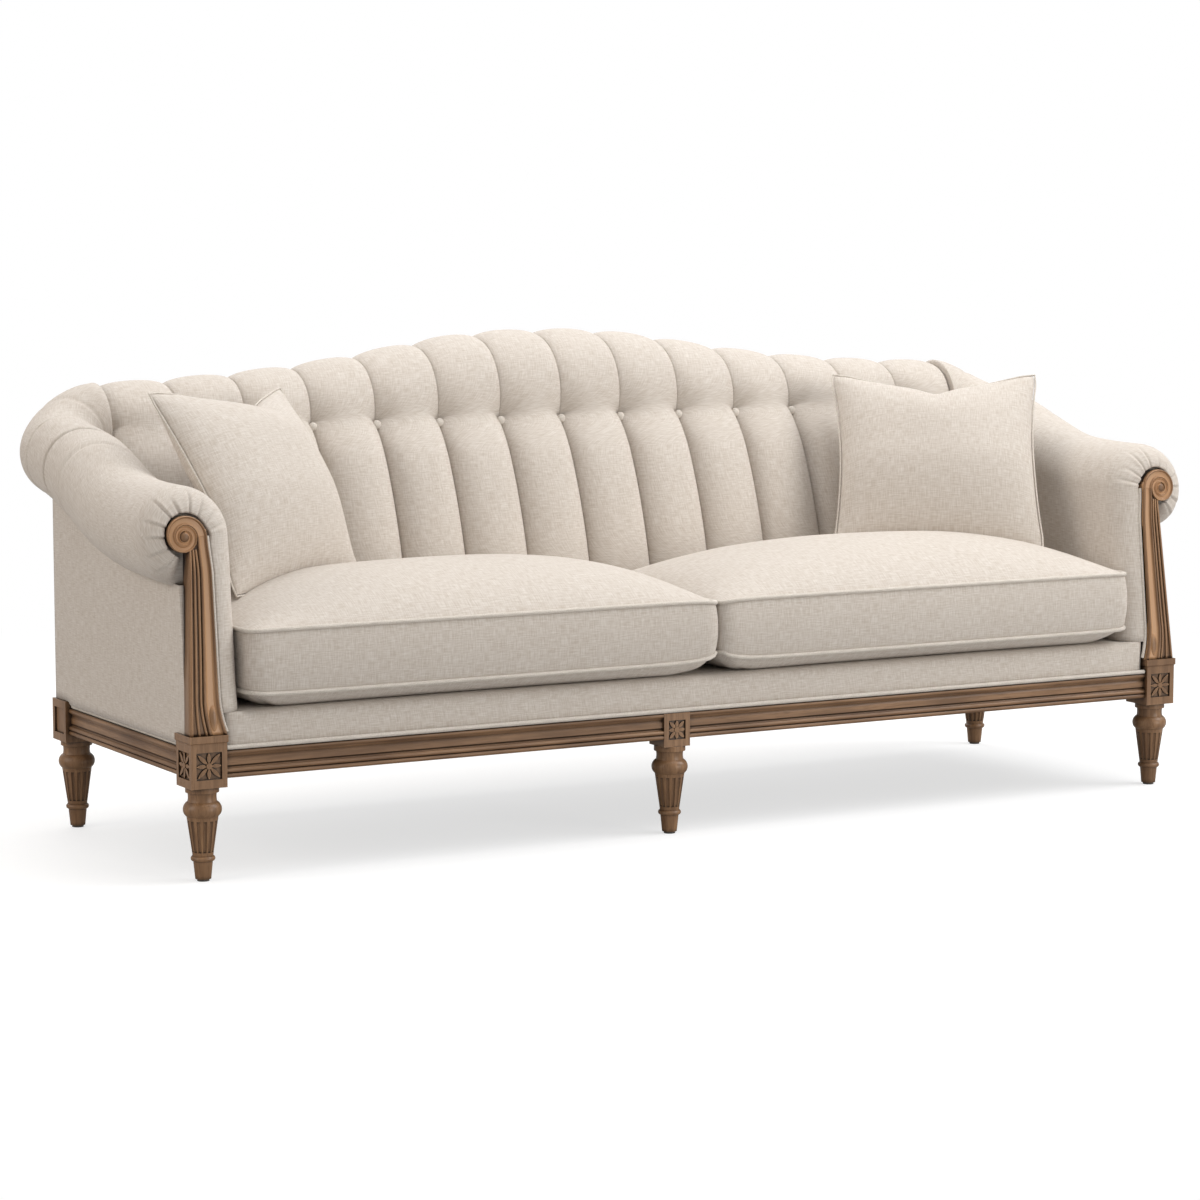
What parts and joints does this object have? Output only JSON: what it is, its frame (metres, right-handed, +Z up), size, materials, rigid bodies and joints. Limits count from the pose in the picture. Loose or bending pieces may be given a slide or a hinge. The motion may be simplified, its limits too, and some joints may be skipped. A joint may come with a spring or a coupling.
{
  "type": "sofa",
  "caption": "Rolled-arm settee with a camel-shaped channel back, loose seat cushions and pillows, on a carved show-wood frame with turned fluted legs.",
  "frame": {"origin": "on the floor, below the middle of the settee's overall box", "axes": "+X along the length toward the right-hand arm in the front view, -Y toward the front, +Z up"},
  "size_m": [2.324, 0.8919, 0.9394],
  "materials": {
    "show_wood": "satin stained hardwood with darker glaze in the carving",
    "frame_wood": "bare beech and plywood",
    "linen": "oatmeal slub linen",
    "welt": "pale linen welt",
    "webbing": "woven jute",
    "dust_cloth": "black spun cloth",
    "filling": "foam and fibre in a plain cover",
    "steel": "zinc plated",
    "glide": "matte"
  },
  "bodies": {
    "frame": {"arm_facing_left": "show_wood", "arm_facing_right": "show_wood", "arm_post_left": "frame_wood", "arm_post_right": "frame_wood", "arm_rail_left": "frame_wood", "arm_rail_right": "frame_wood", "arm_tacking_rails": "frame_wood", "back_buttons": "linen", "back_channels": "linen", "back_formers": "frame_wood", "back_webbing": "webbing", "block_front_centre": "show_wood", "block_front_left": "show_wood", "block_front_right": "show_wood", "block_rear_left": "show_wood", "block_rear_right": "show_wood", "brace_screws": "steel", "corner_braces": "frame_wood", "corner_roll_left": "linen", "corner_roll_right": "linen", "crest_rail": "frame_wood", "dust_cover": "dust_cloth", "facing_welts": "welt", "foot_glides": "glide", "front_border": "linen", "front_rail_left": "show_wood", "front_rail_right": "show_wood", "inside_arm_left": "linen", "inside_arm_right": "linen", "leg_bolts": "steel", "leg_front_centre": "show_wood", "leg_front_left": "show_wood", "leg_front_right": "show_wood", "leg_rear_left": "show_wood", "leg_rear_right": "show_wood", "outside_arm_left": "linen", "outside_arm_right": "linen", "outside_back": "linen", "rail_welt": "welt", "rear_post_left": "frame_wood", "rear_post_right": "frame_wood", "rear_rail": "show_wood", "seat_deck": "linen", "seat_rail_front": "frame_wood", "seat_rail_left": "frame_wood", "seat_rail_rear": "frame_wood", "seat_rail_right": "frame_wood", "seat_stretchers": "frame_wood", "seat_webbing": "webbing", "side_rail_left": "show_wood", "side_rail_right": "show_wood"},
    "cushion_left": {"seat_cushion_left": "linen", "seat_core_left": "filling"},
    "cushion_right": {"seat_cushion_right": "linen", "seat_core_right": "filling"},
    "pillow_left": {"pillow_left": "linen", "pillow_insert_left": "filling"},
    "pillow_right": {"pillow_right": "linen", "pillow_insert_right": "filling"}
  },
  "joints": [
    {"name": "cushion_left_lift", "type": "slide", "parent": "frame", "child": "cushion_left", "axis": [0, 0, 1], "range_m": [0, 0.25]},
    {"name": "cushion_right_lift", "type": "slide", "parent": "frame", "child": "cushion_right", "axis": [0, 0, 1], "range_m": [0, 0.25]},
    {"name": "pillow_left_lift", "type": "slide", "parent": "cushion_left", "child": "pillow_left", "axis": [0, 0, 1], "range_m": [0, 0.2]},
    {"name": "pillow_right_lift", "type": "slide", "parent": "cushion_right", "child": "pillow_right", "axis": [0, 0, 1], "range_m": [0, 0.2]}
  ]
}
